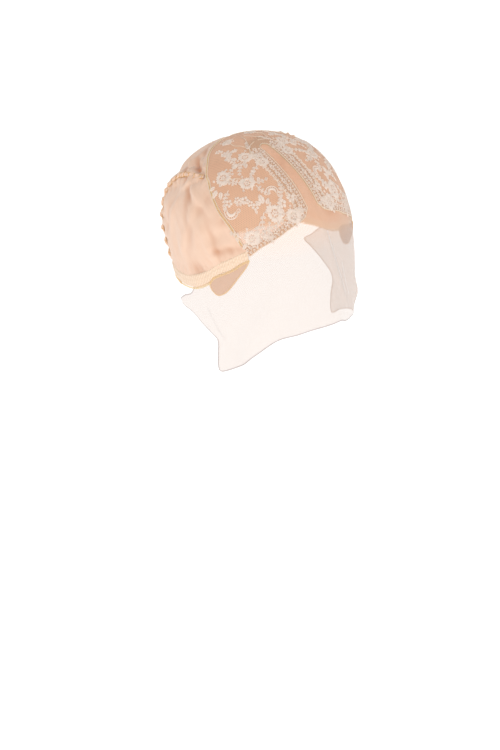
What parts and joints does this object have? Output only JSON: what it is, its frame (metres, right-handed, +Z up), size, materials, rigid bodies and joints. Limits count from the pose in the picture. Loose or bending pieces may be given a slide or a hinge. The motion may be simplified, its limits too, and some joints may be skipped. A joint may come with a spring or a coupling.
{
  "type": "lace-front wig cap",
  "caption": "Wig-making cap of stretch fabric with floral lace crown panels and a sheer lace front that hangs over the brow.",
  "frame": {"origin": "inner top of the crown, where the wearer's head meets the cap", "axes": "+Z up, the wearer faces -Y, the wearer's right is -X"},
  "size_m": [0.1644, 0.2023, 0.2035],
  "materials": {
    "sheer_net": "fine sheer net, raw cut edges",
    "floral_lace": "floral lace motifs on open net",
    "edge_tape": "woven tape, matte",
    "stretch_fabric": "fine stretch knit, soft matte",
    "lace_elastic": "ribbed lace elastic",
    "tulle": "sheer tulle with bound edge",
    "overlock_seam": "overlocked gathered seam"
  },
  "bodies": {
    "root": {"front_lace": "sheer_net", "back_panel": "stretch_fabric", "hem_band_nape": "lace_elastic", "floral_panel_right": "floral_lace", "edge_tape_right": "edge_tape", "side_panel_right": "stretch_fabric", "hem_band_right": "lace_elastic", "ear_tab_right": "tulle", "gather_seam_right": "overlock_seam", "floral_panel_left": "floral_lace", "edge_tape_left": "edge_tape", "side_panel_left": "stretch_fabric", "hem_band_left": "lace_elastic", "ear_tab_left": "tulle", "gather_seam_left": "overlock_seam"}
  },
  "joints": []
}
